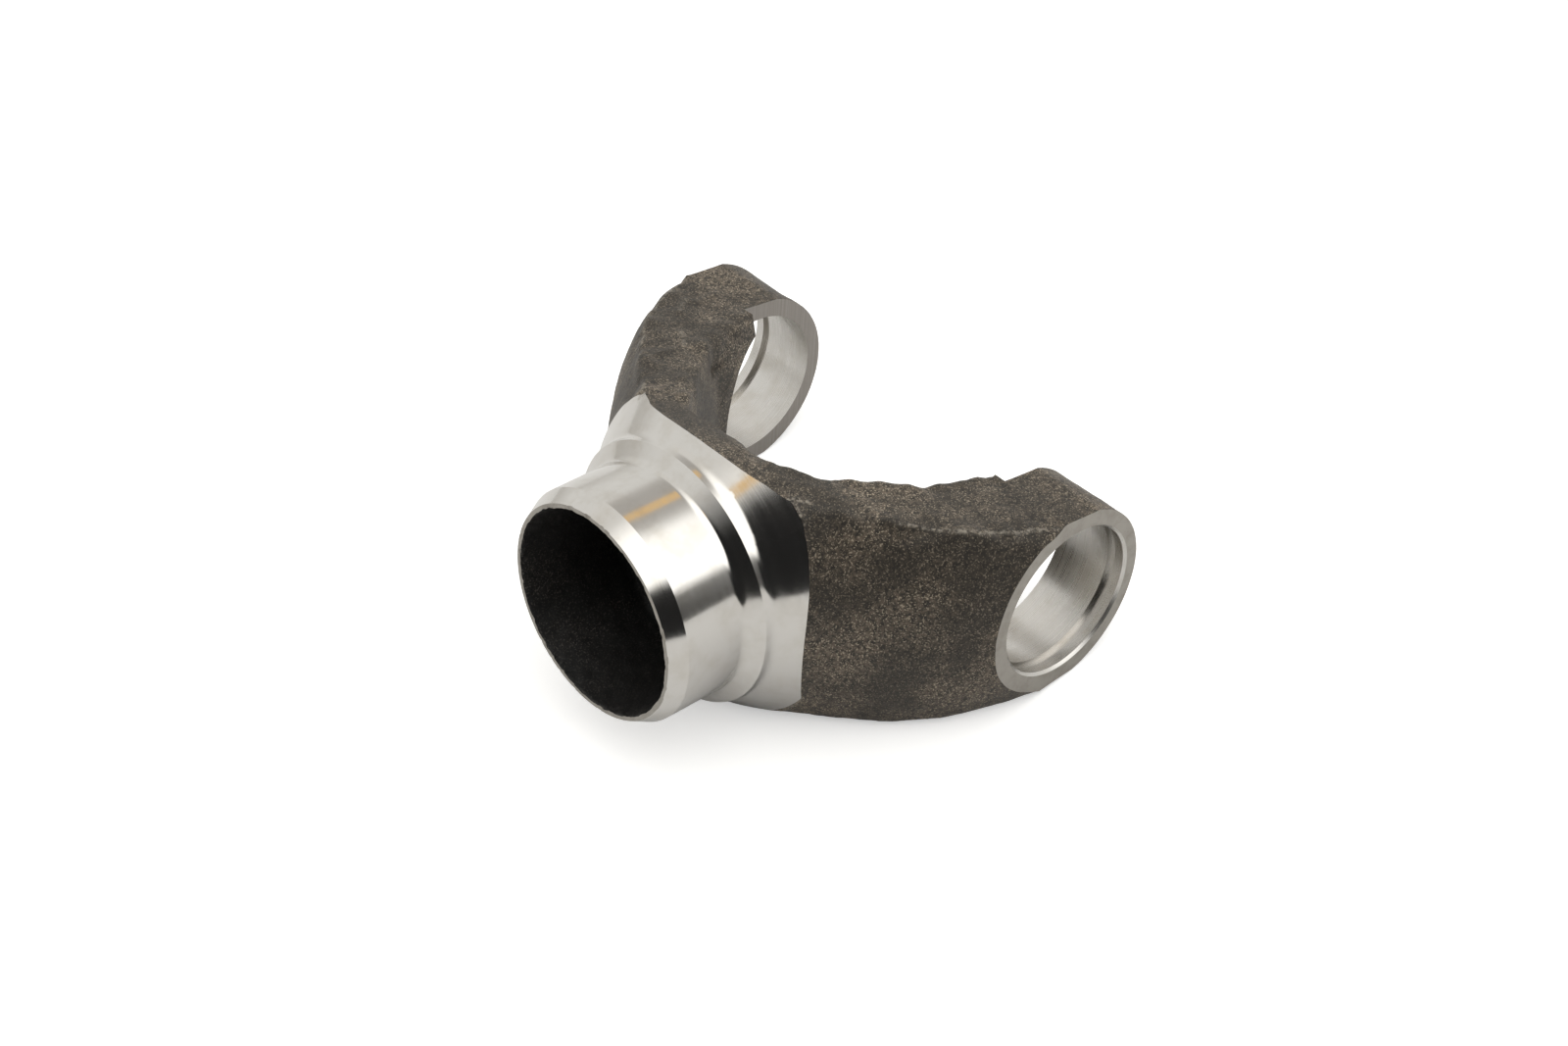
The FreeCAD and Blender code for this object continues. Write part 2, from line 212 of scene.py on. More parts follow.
def flipped(points, tris, zone, rounds=6):
    """Swaps the shared edge of two triangles of one surface where that makes them less thin."""
    for _ in range(rounds):
        edges, of_tri = edge_table(tris)
        sides = edge_sides(of_tri)
        t0, t1 = sides[:, 0], sides[:, 1]
        slot0 = (of_tri[t0] == np.arange(len(edges))[:, None]).argmax(axis=1)
        slot1 = (of_tri[t1] == np.arange(len(edges))[:, None]).argmax(axis=1)
        a, b = tris[t0, slot0], tris[t0, (slot0 + 1) % 3]
        c, d = tris[t0, (slot0 + 2) % 3], tris[t1, (slot1 + 2) % 3]

        def corner(p, q, r):
            u, v = points[q] - points[p], points[r] - points[p]
            size = np.linalg.norm(u, axis=1) * np.linalg.norm(v, axis=1)
            return np.arccos(np.clip((u * v).sum(axis=1) / np.maximum(size, 1e-12), -1, 1))

        now = corner(c, a, b) + corner(d, a, b)
        normal = triangle_normals(points, tris)
        flat = (normal[t0] * normal[t1]).sum(axis=1) > 0.985
        want = (now > math.pi + 0.02) & flat & (zone[t0] == zone[t1])
        new0 = np.c_[a, d, c]
        new1 = np.c_[d, b, c]
        n0, n1 = triangle_normals(points, new0), triangle_normals(points, new1)
        want &= ((n0 * normal[t0]).sum(axis=1) > 0.9) & ((n1 * normal[t0]).sum(axis=1) > 0.9)
        existing = set((edges[:, 0] * (len(points) + 1) + edges[:, 1]).tolist())
        key = np.minimum(c, d) * (len(points) + 1) + np.maximum(c, d)
        score = np.where(want, now, 0)
        best = np.zeros(len(tris))
        np.maximum.at(best, t0, score)
        np.maximum.at(best, t1, score)
        pick = want & (score >= best[t0]) & (score >= best[t1])
        pick = [e for e in np.flatnonzero(pick) if int(key[e]) not in existing]
        if not pick:
            break
        taken = np.zeros(len(tris), dtype=bool)
        for e in pick:
            if not taken[t0[e]] and not taken[t1[e]]:
                taken[[t0[e], t1[e]]] = True
                tris[t0[e]], tris[t1[e]] = new0[e], new1[e]
    return tris


def vertex_zones(count, tris, zone):
    """One row per vertex: which zones its triangles belong to."""
    table = np.zeros((count, ZONES), dtype=bool)
    for corner in range(3):
        table[tris[:, corner], zone] = True
    return table


def on_machined(points, table):
    """Vertices of round machined surfaces put on the true round."""
    x, y, z = points.T.copy()
    scale = np.where(table[:, NOSE], turned_radius(x) / np.maximum(np.hypot(y, z), 1e-9), 1.0)
    y, z = y * scale, z * scale
    about_y = np.hypot(x, z)
    wall = table[:, BORE] & (np.abs(about_y - BORE_R) < 0.2)
    scale = np.where(wall, BORE_R / np.maximum(about_y, 1e-9), 1.0)
    return np.c_[x * scale, y, z * scale]


def creases(points, tris, zone):
    """Points along the forged edges of the CAD mesh, and along the edges where forging meets machining."""
    edges, of_tri = edge_table(tris)
    sides = edge_sides(of_tri)
    normal = triangle_normals(points, tris)
    bend = (normal[sides[:, 0]] * normal[sides[:, 1]]).sum(axis=1)
    skin = zone[sides] == SKIN
    forged = skin.all(axis=1) & (bend < math.cos(math.radians(16)))
    cut = skin.any(axis=1) & ~skin.all(axis=1)

    def sampled(which):
        found = []
        for i, j in edges[which]:
            steps = max(2, int(np.linalg.norm(points[i] - points[j]) / 0.4))
            found += [points[i] + (points[j] - points[i]) * k / steps for k in range(steps + 1)]
        return found

    return sampled(forged), sampled(cut)


def tree_of(found):
    tree = kdtree.KDTree(len(found))
    for number, place in enumerate(found):
        tree.insert(place, number)
    tree.balance()
    return tree


def distances(tree, points, chosen, most=6.0):
    away = np.full(len(points), most)
    for i in np.flatnonzero(chosen):
        away[i] = min(most, tree.find(points[i])[2])
    return away


def blurred(points, tris, weight, rounds):
    """Laplacian smoothing by a share per vertex."""
    edges, _ = edge_table(tris)
    count = np.bincount(edges.reshape(-1), minlength=len(points))[:, None]
    for _ in range(rounds):
        total = np.zeros_like(points)
        np.add.at(total, edges[:, 0], points[edges[:, 1]])
        np.add.at(total, edges[:, 1], points[edges[:, 0]])
        points = points + weight[:, None] * (total / np.maximum(count, 1) - points)
    return points


def normals_of(points, tris, chosen):
    """Area-weighted vertex normals from the chosen triangles."""
    a, b, c = (points[tris[chosen][:, i]] for i in range(3))
    n = np.cross(b - a, c - a)
    total = np.zeros_like(points)
    for corner in range(3):
        np.add.at(total, tris[chosen][:, corner], n)
    return total / np.maximum(np.linalg.norm(total, axis=1), 1e-12)[:, None]


def field(points, chosen, size, seed, octaves=2):
    """Smooth noise from about -1 to 1 with features of a size in mm."""
    value = np.zeros(len(points))
    shift = Vector((seed * 17.3, seed * 5.1, seed * 9.7))
    for i in np.flatnonzero(chosen):
        value[i] = noise.fractal(Vector(points[i] / size) + shift, 1.0, 2.0, octaves)
    return value


def off_path(points, path):
    """Distance of each point from a line of straight runs."""
    best = np.full(len(points), 1e9)
    path = np.array(path, float)
    for a, b in zip(path, path[1:]):
        along = np.clip((points - a) @ (b - a) / ((b - a) @ (b - a)), 0, 1)
        best = np.minimum(best, np.linalg.norm(points - a - along[:, None] * (b - a), axis=1))
    return best


# Marks of the forging on its skin, mm: (points along the mark, half width, height)
MARKS = [
    ([(-19.9, 33.6, 21.4), (-24.5, 26.9, 22.6), (-27.0, 22.9, 23.2), (-31.1, 20.1, 24.0), (-36.3, 18.3, 25)],
     0.9, 0.45),
    ([(-32.3, 28.9, 22.5), (-27.5, 29.6, 22.3), (-23.0, 29.5, 22.2)], 0.6, 0.25),
    ([(-14.7, 39.9, 20.8), (-12.5, 41.8, 20.5), (-10.5, 43.1, 20.3)], 0.8, 0.5),
    ([(-9.2, 41.2, 20.2), (-6.0, 41.8, 20.0), (-3.5, 42.0, 19.8)], 0.7, 0.45),
    ([(-28.4, -23.0, 23.2), (-28.8, -25.2, 23.2), (-27.9, -26.9, 23.0)], 0.7, -0.55),
    ([(-26.4, -25.8, 23.0), (-25.6, -27.4, 22.8)], 0.8, 0.3),
    ([(-2.2, -40.3, 20.0), (-0.6, -39.6, 19.8)], 0.7, 0.35),
    ([(3.5, -43.8, 19.3), (13.4, -44.2, 18.0)], 0.5, -0.2),
    ([(-5.8, -45.5, 19.6), (0.7, -48.8, 19.2)], 0.5, -0.2),
    ([(-14.9, -45.8, 20.2), (-13.6, -46.3, 20.1)], 0.6, 0.45),
]


# Longest edges of the mesh, mm. The forged skin and the hollow take SPACING.
SPACING = 1.12
FINE = 0.45
SURFACE_SPACING = {NOSE: 2.2, BORE: 2.5, GROOVE: 2.5, INNER: 3.0, FACE: 3.0, RIM: FINE}
FOOT_REACH, SEAT_FOOT, LAND_FOOT = 1.2, 0.7, 0.8
RIM_DEPTH = 1.0
TOP_Z, TOP_SPACING = 15, 0.95


def spacing(middle, zone):
    """Longest edge wanted round a place, mm."""
    x, _, z = middle.T
    wanted = np.full(len(middle), SPACING)
    for surface, length in SURFACE_SPACING.items():
        wanted[zone == surface] = length
    wanted[(zone == NOSE) & (np.abs(x - SEAT_X) < FOOT_REACH)] = SEAT_FOOT
    wanted[(zone == NOSE) & (np.abs(x - LAND_X) < FOOT_REACH)] = LAND_FOOT
    wanted[(zone == HOLLOW) & (x < RIM_X + RIM_DEPTH)] = FINE
    wanted[(zone == SKIN) & (z > TOP_Z)] = TOP_SPACING
    return wanted


def box_limits():
    low, high = np.array(cad_box) / MM
    return low, high


# Waves of the surface: (height mm, size mm, seed).
SKIN_WAVES = [(0.20, 15.0, 1), (0.10, 5.0, 2), (0.05, 1.8, 3)]
HOLLOW_WAVES = [(0.16, 3.0, 6), (0.07, 1.0, 7)]
# The throat between the arms, its rounded corners, and how strongly the forged edges are softened.
THROAT_HALF, THROAT_BACK, THROAT_ROUND = 34, -38.5, 3.5
THROAT_SOFTNESS, SKIN_SOFTNESS, SKIN_ROUNDS = 0.5, 0.28, 10
HOLLOW_SOFTNESS, HOLLOW_ROUND, HOLLOW_ROUNDS = 0.5, 3, 12
# Raggedness of the marks, and how waves and marks fade towards a machined edge.
MARK_ROUGHNESS, MARK_GRAIN, MARK_SEED = 0.35, 1.1, 4
CUT_FADE, CUT_LEAST = 1.5, 0.35
# Bumps along the top edges of the arms.
CROWN_FRONT, CROWN_REACH, CROWN_HEIGHT, CROWN_SIZE, CROWN_SEED = -4, 5, 1.0, 6.5, 5
STEEPEST_SLIDE = 0.25


def waves(points, chosen, layers):
    """Sum of the noise layers."""
    return sum(height * field(points, chosen, size, seed) for height, size, seed in layers)


def in_throat(points):
    return (np.abs(points[:, 1]) < THROAT_HALF) & (points[:, 0] > THROAT_BACK)


def forged_shape(points, tris, zone, table, near_edge, near_cut):
    """Rounds the forged edges and gives the skin its waves, ridges and chips."""
    skin = table[:, SKIN]
    alone = table.sum(axis=1) == 1
    rounded = in_throat(points) & (near_edge < THROAT_ROUND)
    softness = np.where(skin & alone, np.where(rounded, THROAT_SOFTNESS, SKIN_SOFTNESS), 0.0)
    points = blurred(points, tris, softness, SKIN_ROUNDS)
    bottom = table[:, HOLLOW] & alone & (points[:, 0] > HOLLOW_X - HOLLOW_ROUND)
    points = blurred(points, tris, np.where(bottom, HOLLOW_SOFTNESS, 0.0), HOLLOW_ROUNDS)
    normal = normals_of(points, tris, zone == SKIN)
    height = waves(points, skin, SKIN_WAVES)
    for path, half, rise in MARKS:
        near = off_path(points, path)
        ragged = 1 + MARK_ROUGHNESS * field(points, skin & (near < 4 * half), MARK_GRAIN, MARK_SEED)
        height += np.where(skin, rise * ragged * np.exp(-(near / half) ** 2), 0)
    height *= np.clip(near_cut / CUT_FADE, CUT_LEAST, 1.0)
    crown = skin & (points[:, 2] > TOP_Z) & (points[:, 0] < CROWN_FRONT)
    fade = np.clip(1 - near_edge / CROWN_REACH, 0, 1)
    height += np.where(crown, CROWN_HEIGHT * field(points, crown, CROWN_SIZE, CROWN_SEED) * fade, 0)
    machined_normal = np.zeros_like(points)
    for other in (NOSE, BORE, FACE, INNER, GROOVE):
        edge = skin & table[:, other]
        machined_normal[edge] = normals_of(points, tris, zone == other)[edge]
    along = (normal * machined_normal).sum(axis=1)[:, None]
    slide = (normal - along * machined_normal) / np.maximum(1 - along ** 2, STEEPEST_SLIDE)
    moved = points + height[:, None] * np.where(alone[:, None], normal, slide)
    return np.where(skin[:, None], moved, points)


# The ragged rim of the hollow: how far it wanders, and the nicks in it.
RIM_WANDER, RIM_WANDER_SIZE, RIM_WANDER_SEED, RIM_OUT = 0.22, 1.6, 8, 0.10
NICK_SIZE, NICK_SEED, NICK_FROM, NICK_DEPTH = 2.3, 9, 0.25, 0.12


def hollow_shape(points, tris, zone, table):
    """Makes the forged hollow rough and its rim ragged."""
    inside = table[:, HOLLOW]
    rim = table[:, RIM]
    normal = normals_of(points, tris, zone == HOLLOW)
    height = waves(points, inside, HOLLOW_WAVES)
    rim_edge = inside & rim
    radial = points * (0, 1, 1)
    radial /= np.maximum(np.linalg.norm(radial, axis=1), 1e-9)[:, None]
    ragged = RIM_WANDER * field(points, rim_edge, RIM_WANDER_SIZE, RIM_WANDER_SEED) + RIM_OUT
    points = points + np.where(inside & ~rim_edge, height, 0)[:, None] * normal
    points = points + np.where(rim_edge, ragged, 0)[:, None] * radial
    nicked = rim & (field(points, rim, NICK_SIZE, NICK_SEED) > NICK_FROM)
    points[nicked, 0] += NICK_DEPTH
    return points


def build_mesh(name, points, tris, zone, materials):
    mesh = bpy.data.meshes.new(name)
    mesh.vertices.add(len(points))
    mesh.vertices.foreach_set("co", (points * MM).astype(np.float32).ravel())
    mesh.loops.add(len(tris) * 3)
    mesh.loops.foreach_set("vertex_index", tris.astype(np.int32).ravel())
    mesh.polygons.add(len(tris))
    mesh.polygons.foreach_set("loop_start", np.arange(0, len(tris) * 3, 3, dtype=np.int32))
    mesh.polygons.foreach_set("material_index", zone.astype(np.int32))
    mesh.update(calc_edges=True)
    mesh.polygons.foreach_set("use_smooth", np.ones(len(tris), dtype=bool))
    for material in materials:
        mesh.materials.append(material)
    piece = bpy.data.objects.new(name, mesh)
    bpy.context.scene.collection.objects.link(piece)
    return piece


def mark_sharp(piece, points, tris, zone):
    """Creases where two surfaces meet, apart from forged to forged."""
    edges, of_tri = edge_table(tris)
    sides = edge_sides(of_tri)
    normal = triangle_normals(points, tris)
    bend = (normal[sides[:, 0]] * normal[sides[:, 1]]).sum(axis=1)
    forged = np.isin(zone, (SKIN, HOLLOW))[sides].all(axis=1)
    sharp = ~forged & ((bend < math.cos(math.radians(16))) | (zone[sides[:, 0]] != zone[sides[:, 1]]))
    key = set((edges[sharp, 0] * len(points) + edges[sharp, 1]).tolist())
    mesh = piece.data
    ends = np.empty(len(mesh.edges) * 2, dtype=np.int32)
    mesh.edges.foreach_get("vertices", ends)
    ends = np.sort(ends.reshape(-1, 2).astype(np.int64), axis=1)
    flags = np.array([k in key for k in (ends[:, 0] * len(points) + ends[:, 1]).tolist()])
    attribute = mesh.attributes.new("sharp_edge", "BOOLEAN", "EDGE")
    attribute.data.foreach_set("value", flags)


def store(piece, name, values):
    attribute = piece.data.attributes.new(name, "FLOAT", "POINT")
    attribute.data.foreach_set("value", values.astype(np.float32))


class Nodes:
    """Short calls for building one material's or the world's nodes."""

    def __init__(self, tree):
        self.tree = tree

    def add(self, kind, **settings):
        node = self.tree.nodes.new(kind)
        for key, value in settings.items():
            setattr(node, key, value)
        return node

    def put(self, socket, value):
        if isinstance(value, bpy.types.NodeSocket):
            self.tree.links.new(value, socket)
        else:
            socket.default_value = value

    def math(self, operation, a, b=0.0, clamp=False):
        node = self.add("ShaderNodeMath", operation=operation, use_clamp=clamp)
        self.put(node.inputs[0], a)
        self.put(node.inputs[1], b)
        return node.outputs[0]

    def ramp(self, value, low, high):
        """0 below low, 1 above high, smooth between."""
        node = self.add("ShaderNodeMapRange", interpolation_type="SMOOTHSTEP")
        self.put(node.inputs["Value"], value)
        self.put(node.inputs["From Min"], low)
        self.put(node.inputs["From Max"], high)
        return node.outputs["Result"]

    def between(self, value, low, high):
        """0 to 1 spread from low to high."""
        node = self.add("ShaderNodeMapRange")
        self.put(node.inputs["Value"], value)
        self.put(node.inputs["To Min"], low)
        self.put(node.inputs["To Max"], high)
        return node.outputs["Result"]

    def mix(self, share, a, b):
        node = self.add("ShaderNodeMix", data_type="RGBA")
        sockets = {socket.identifier: socket for socket in node.inputs}
        self.put(sockets["Factor_Float"], share)
        self.put(sockets["A_Color"], a)
        self.put(sockets["B_Color"], b)
        return next(socket for socket in node.outputs if socket.identifier == "Result_Color")

    def axes(self, vector):
        node = self.add("ShaderNodeSeparateXYZ")
        self.put(node.inputs[0], vector)
        return node.outputs

    def place(self):
        return self.add("ShaderNodeTexCoord").outputs["Object"]

    def noise(self, where, size_mm, detail=2.0, rough=0.5, dimensions="3D"):
        node = self.add("ShaderNodeTexNoise", noise_dimensions=dimensions)
        self.put(node.inputs["Scale"], 1 / (size_mm * MM))
        self.put(node.inputs["Detail"], detail)
        self.put(node.inputs["Roughness"], rough)
        self.put(node.inputs["W" if dimensions == "1D" else "Vector"], where)
        return node.outputs[0]

    def attribute(self, name):
        return self.add("ShaderNodeAttribute", attribute_name=name).outputs["Fac"]

    def bump(self, height, depth_mm, strength=1.0, normal=None):
        node = self.add("ShaderNodeBump")
        self.put(node.inputs["Height"], height)
        self.put(node.inputs["Distance"], depth_mm * MM)
        self.put(node.inputs["Strength"], strength)
        if normal is not None:
            self.put(node.inputs["Normal"], normal)
        return node.outputs["Normal"]


def new_material(name):
    material = bpy.data.materials.new(name)
    material.use_nodes = True
    shader = material.node_tree.nodes["Principled BSDF"]
    return material, Nodes(material.node_tree), shader


def forged_material(name, dark, brown, glint_colour, worn):
    """Forging scale: dark oxide with brown patches, fine light specks painted into the colour as glints, and
    rubbed edges.
    """
    material, n, shader = new_material(name)
    where = n.place()
    patch = n.ramp(n.noise(where, size_mm=14.0, detail=3.0, rough=0.6), 0.38, 0.66)
    grain = n.ramp(n.noise(where, size_mm=0.9, detail=4.0, rough=0.65), 0.35, 0.7)
    fine = n.noise(where, size_mm=0.33, detail=2.0, rough=0.6)
    # Painted glints: tiny light specks mixed into the base colour where the fine noise peaks, standing in for
    # sparkle.
    painted_glints = n.ramp(fine, 0.56, 0.64)
    flaking = n.ramp(n.noise(where, size_mm=0.8, detail=3.0, rough=0.6), 0.40, 0.58)
    rubbed = n.math("MULTIPLY", n.attribute("wear"), flaking, clamp=True)
    colour = n.mix(n.math("MULTIPLY", n.between(patch, 0.25, 1.0), grain), dark, brown)
    colour = n.mix(n.math("MULTIPLY", painted_glints, n.between(patch, 0.30, 0.85)), colour, glint_colour)
    n.put(shader.inputs["Base Color"], n.mix(rubbed, colour, worn))
    n.put(shader.inputs["Metallic"], n.between(rubbed, 0.25, 0.85))
    n.put(shader.inputs["Roughness"], n.between(fine, 0.42, 0.68))
    pitted = n.noise(where, size_mm=1.6, detail=4.0, rough=0.6)
    coarse = n.bump(pitted, depth_mm=0.10, strength=0.8)
    n.put(shader.inputs["Normal"], n.bump(fine, depth_mm=0.05, strength=0.8, normal=coarse))
    return material


# Linear colours.
STEEL, WARM_STEEL = (0.62, 0.605, 0.58, 1), (0.50, 0.47, 0.42, 1)
FACED, FACED_STAIN = (0.36, 0.34, 0.31, 1), (0.26, 0.24, 0.21, 1)
MILLED, MILLED_STAIN = (0.36, 0.34, 0.32, 1), (0.22, 0.20, 0.18, 1)
# Forging scale: dark, brown, painted glint colour and rubbed.
SCALE = [(0.020, 0.017, 0.013, 1), (0.150, 0.119, 0.088, 1), (0.44, 0.37, 0.28, 1), (0.42, 0.38, 0.32, 1)]
# The hollow: the skin's scale colours darkened several times over, painted shade in the recess on top of the
# real scale.
HOLLOW_SHADE_AND_SCALE = [(0.006, 0.006, 0.006, 1), (0.018, 0.016, 0.014, 1), (0.10, 0.09, 0.08, 1), (0.3, 0.3, 0.3, 1)]



def ring_material(name, axis, pitch_mm, rough, depth_mm):
    """Machined steel with tool lines that run round an axis (0 is X, 1 is Y)."""
    material, n, shader = new_material(name)
    where = n.place()
    along = n.axes(where)[axis]
    lines = n.noise(along, pitch_mm, detail=2.0, rough=0.7, dimensions="1D")
    wide = n.noise(along, pitch_mm * 5, detail=1.0, rough=0.5, dimensions="1D")
    cloud = n.noise(where, size_mm=5.0, detail=3.0, rough=0.6)
    tone = n.math("MULTIPLY", n.ramp(cloud, 0.4, 0.75), 0.5)
    n.put(shader.inputs["Base Color"], n.mix(tone, STEEL, WARM_STEEL))
    n.put(shader.inputs["Metallic"], 1.0)
    n.put(shader.inputs["Roughness"], n.between(n.math("MULTIPLY", lines, wide), *rough))
    n.put(shader.inputs["Normal"], n.bump(lines, depth_mm, strength=0.6))
    return material


def faced_material(name):
    """Faced steel: matt grey with fine arcs round the bore."""
    material, n, shader = new_material(name)
    where = n.place()
    x, _, z = n.axes(where)
    radius = n.math("SQRT", n.math("ADD", n.math("POWER", x, 2.0), n.math("POWER", z, 2.0)))
    lines = n.noise(radius, size_mm=0.35, detail=2.0, rough=0.7, dimensions="1D")
    cloud = n.noise(where, size_mm=3.0, detail=4.0, rough=0.65)
    stained = n.math("MULTIPLY", n.ramp(cloud, 0.4, 0.7), 0.6)
    n.put(shader.inputs["Base Color"], n.mix(stained, FACED, FACED_STAIN))
    n.put(shader.inputs["Metallic"], 0.9)
    n.put(shader.inputs["Roughness"], n.between(cloud, 0.34, 0.5))
    dull = n.bump(cloud, depth_mm=0.02, strength=0.5)
    n.put(shader.inputs["Normal"], n.bump(lines, depth_mm=0.012, strength=0.7, normal=dull))
    return material


def milled_material(name):
    """The faced inner sides of the ears: grey, with straight tool marks up and down."""
    material, n, shader = new_material(name)
    where = n.place()
    lines = n.noise(n.axes(where)[0], size_mm=0.5, detail=3.0, rough=0.7, dimensions="1D")
    cloud = n.noise(where, size_mm=3.0, detail=4.0, rough=0.65)
    n.put(shader.inputs["Base Color"], n.mix(lines, MILLED, MILLED_STAIN))
    n.put(shader.inputs["Metallic"], 0.9)
    n.put(shader.inputs["Roughness"], n.between(cloud, 0.30, 0.48))
    n.put(shader.inputs["Normal"], n.bump(lines, depth_mm=0.03, strength=0.8))
    return material


def surface_materials():
    """One material for each zone, in the zones' order."""
    bored = ring_material("bored_steel", axis=1, pitch_mm=0.3, rough=(0.24, 0.40), depth_mm=0.010)
    faced = faced_material("faced_steel")
    of_zone = {
        # Forging scale in the hollow, darkened as painted shade.
        HOLLOW: forged_material("hollow_painted_shade_and_scale", *HOLLOW_SHADE_AND_SCALE),
        RIM: faced,
        NOSE: ring_material("turned_steel", axis=0, pitch_mm=0.25, rough=(0.10, 0.22), depth_mm=0.004),
        BORE: bored,
        GROOVE: bored,
        FACE: faced,
        INNER: milled_material("milled_steel"),
        SKIN: forged_material("forging_scale", *SCALE),
    }
    return [of_zone[k] for k in range(ZONES)]


# Rubbed places: behind this x, within this width of an outer edge, and on marks higher than this.
WEAR_FRONT, WEAR_WIDTH, EDGE_WEAR = -5, 0.6, 0.6
WORN_RISE, MARK_WEAR = 0.3, 0.4


def worn_places(points, skin, near_edge):
    """How far the skin is rubbed bright at each vertex."""
    outer = skin & (points[:, 0] < WEAR_FRONT) & ~in_throat(points)
    wear = np.where(outer, EDGE_WEAR * np.clip(1 - near_edge / WEAR_WIDTH, 0, 1), 0)
    for path, half, rise in MARKS:
        if rise > WORN_RISE:
            on_mark = MARK_WEAR * np.exp(-(2 * off_path(points, path) / half) ** 2)
            wear = np.maximum(wear, np.where(skin, on_mark, 0))
    return wear


def yoke():
    points, tris = cad_mesh()
    zone = zones_of(points, tris)
    forged_lines, cut_lines = creases(points, tris, zone)
    points, tris, zone = refined(points, tris, zone, spacing)
    tris = flipped(points, tris, zone)
    table = vertex_zones(len(points), tris, zone)
    points = on_machined(points, table)
    skin = table[:, SKIN]
    near_edge = distances(tree_of(forged_lines), points, skin)
    near_cut = distances(tree_of(cut_lines), points, skin)
    points = forged_shape(points, tris, zone, table, near_edge, near_cut)
    points = hollow_shape(points, tris, zone, table)
    points = on_machined(points, table)
    points = np.clip(points, *box_limits())
    wear = worn_places(points, skin, near_edge)
    piece = build_mesh("yoke_surface", points, tris, zone, surface_materials())
    mark_sharp(piece, points, tris, zone)
    store(piece, "wear", wear)
    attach(piece, "root")
    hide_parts(NODE)
    return piece


# Camera: place in the object's frame, and its right, up and back axes.
CAMERA_AT = (-0.308173, -0.285367, 0.308792)
CAMERA_RIGHT = (0.736957, -0.673389, 0.058661)
CAMERA_UP = (0.377992, 0.482506, 0.790133)
CAMERA_LENS = 63.425


def camera():
    data = bpy.data.cameras.new("camera")
    data.sensor_width = 36
    data.lens = CAMERA_LENS
    data.clip_start = 0.01
    right, up = Vector(CAMERA_RIGHT).normalized(), Vector(CAMERA_UP).normalized()
    back = right.cross(up)
    view = Matrix((right, up, back)).transposed().to_4x4()
    view.translation = CAMERA_AT
    camera_object = bpy.data.objects.new("camera", data)
    camera_object.matrix_world = view
    bpy.context.scene.collection.objects.link(camera_object)
    bpy.context.scene.camera = camera_object


# The floor touches the underside of the body and both ears: a point on it and its normal.
FLOOR_POINT = (0.0041, 0.0, -0.0186)
FLOOR_NORMAL = (-0.184, 0.0, 0.983)
FLOOR_HALF = 0.5
FLOOR_TONE, FLOOR_GLOW = 0.80, 0.46


def floor():
    normal = Vector(FLOOR_NORMAL).normalized()
    mesh = bpy.data.meshes.new("floor")
    side = FLOOR_HALF
    corners = [(-side, -side, 0), (side, -side, 0), (side, side, 0), (-side, side, 0)]
    mesh.from_pydata(corners, [], [(0, 1, 2, 3)])
    plane = bpy.data.objects.new("floor", mesh)
    plane.rotation_mode = "QUATERNION"
    plane.rotation_quaternion = normal.to_track_quat("Z", "Y")
    plane.location = Vector(FLOOR_POINT)
    bpy.context.scene.collection.objects.link(plane)
    mesh.materials.append(floor_material())


def floor_material():
    """White to the camera where no shadow falls; a matt pale floor to everything else."""
    material = bpy.data.materials.new("floor_white")
    material.use_nodes = True
    n = Nodes(material.node_tree)
    n.tree.nodes.clear()
    out = n.add("ShaderNodeOutputMaterial")
    matt = n.add("ShaderNodeBsdfDiffuse")
    matt.inputs["Color"].default_value = (FLOOR_TONE, FLOOR_TONE, FLOOR_TONE, 1)
    glow = n.add("ShaderNodeEmission")
    seen = n.add("ShaderNodeLightPath").outputs["Is Camera Ray"]
    n.put(glow.inputs["Strength"], n.math("MULTIPLY", seen, FLOOR_GLOW))
    both = n.add("ShaderNodeAddShader")
    n.put(both.inputs[0], matt.outputs[0])
    n.put(both.inputs[1], glow.outputs[0])
    n.put(out.inputs["Surface"], both.outputs[0])
    return material


def direction(azimuth, elevation):
    a, e = math.radians(azimuth), math.radians(elevation)
    return (math.cos(a) * math.cos(e), math.sin(a) * math.cos(e), math.sin(e))


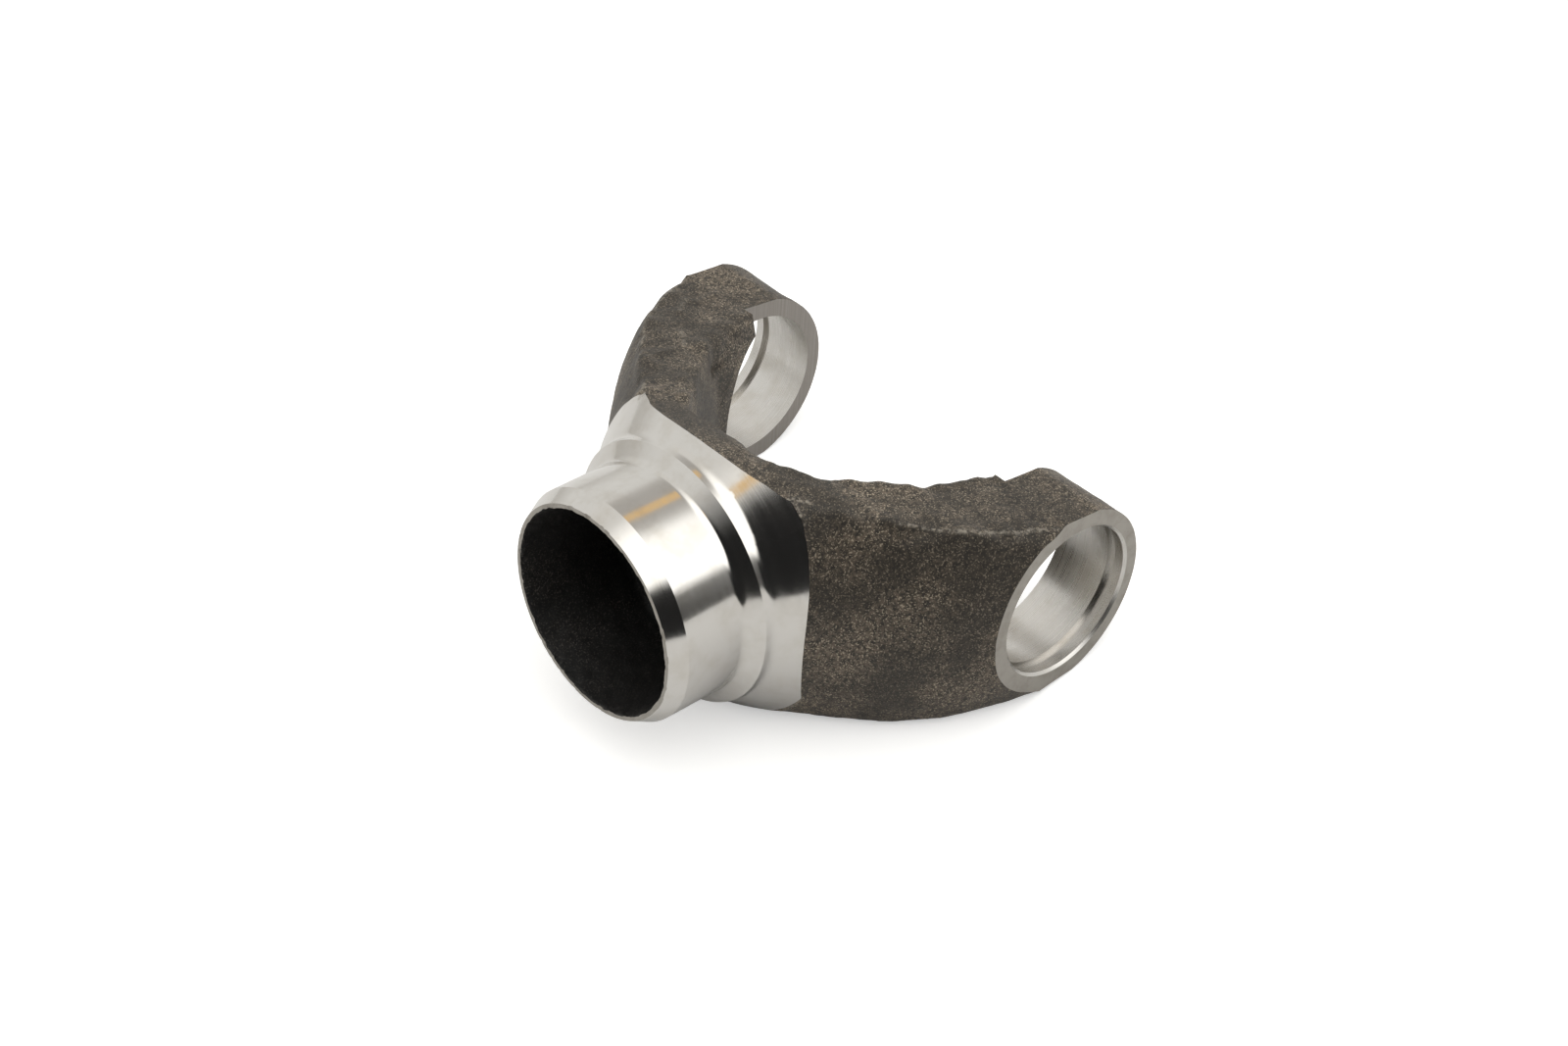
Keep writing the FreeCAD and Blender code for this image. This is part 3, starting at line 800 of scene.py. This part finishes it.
# The studio by direction from the part: (azimuth, elevation) in degrees, edges and linear colours.
OPENING_AT, OPENING_EDGE, OPENING = (-118, 0), (0.10, 0.62), (0.02, 0.02, 0.02, 1)
BRINK_SLOPE, BRINK_EDGE = (0.2045, -0.1077), (0.53, 0.67)
WALL_EDGE, WALL_LOW, WALL_HIGH = (-0.1, 0.35), (0.66, 0.64, 0.60, 1), (0.95, 0.94, 0.91, 1)
LAMP_AT, LAMP_EDGE, ROOF, LAMP = (-95, 50), (0.45, 0.85), (0.95, 0.93, 0.89, 1), (2.0, 1.98, 1.92, 1)
DIM_AT, DIM_EDGE, DIM_SHARE, DIM = (28, 48), (0.90, 0.985), 0.6, (0.35, 0.33, 0.30, 1)
SPOTS_AT, SPOT_EDGE, SPOT = ((28.5, 52.5), (-172, 47)), (0.9972, 0.9985), (1.05, 0.72, 0.34, 1)


def light():
    """A white tent lit from above, open and dark on one side."""
    world = bpy.data.worlds.new("studio")
    world.use_nodes = True
    bpy.context.scene.world = world
    n = Nodes(world.node_tree)
    n.tree.nodes.clear()
    out = n.add("ShaderNodeOutputWorld")
    way = n.add("ShaderNodeTexCoord").outputs["Generated"]
    x, y, z = n.axes(way)

    def towards(at):
        node = n.add("ShaderNodeVectorMath", operation="DOT_PRODUCT")
        n.put(node.inputs[0], way)
        node.inputs[1].default_value = direction(*at)
        return node.outputs["Value"]

    brink = n.math("ADD", n.math("MULTIPLY", x, BRINK_SLOPE[0]), n.math("MULTIPLY", y, BRINK_SLOPE[1]))
    above = n.ramp(n.math("ADD", z, brink), *BRINK_EDGE)
    opening = n.ramp(towards(OPENING_AT), *OPENING_EDGE)
    dark = n.math("MULTIPLY", n.math("SUBTRACT", 1.0, above), opening)
    wall = n.mix(n.ramp(z, *WALL_EDGE), WALL_LOW, WALL_HIGH)
    roof = n.mix(n.ramp(towards(LAMP_AT), *LAMP_EDGE), ROOF, LAMP)
    roof = n.mix(n.math("MULTIPLY", n.ramp(towards(DIM_AT), *DIM_EDGE), DIM_SHARE), roof, DIM)
    tent = n.mix(dark, n.mix(above, wall, roof), OPENING)
    for at in SPOTS_AT:
        tent = n.mix(n.ramp(towards(at), *SPOT_EDGE), tent, SPOT)
    seen = n.add("ShaderNodeBackground")
    seen.inputs["Color"].default_value = (1, 1, 1, 1)
    lit = n.add("ShaderNodeBackground")
    n.put(lit.inputs["Color"], tent)
    choose = n.add("ShaderNodeMixShader")
    n.put(choose.inputs[0], n.add("ShaderNodeLightPath").outputs["Is Camera Ray"])
    n.put(choose.inputs[1], lit.outputs[0])
    n.put(choose.inputs[2], seen.outputs[0])
    n.put(out.inputs["Surface"], choose.outputs[0])


yoke()
camera()
floor()
light()
bpy.context.scene.view_settings.view_transform = "Standard"
bpy.context.view_layer.update()
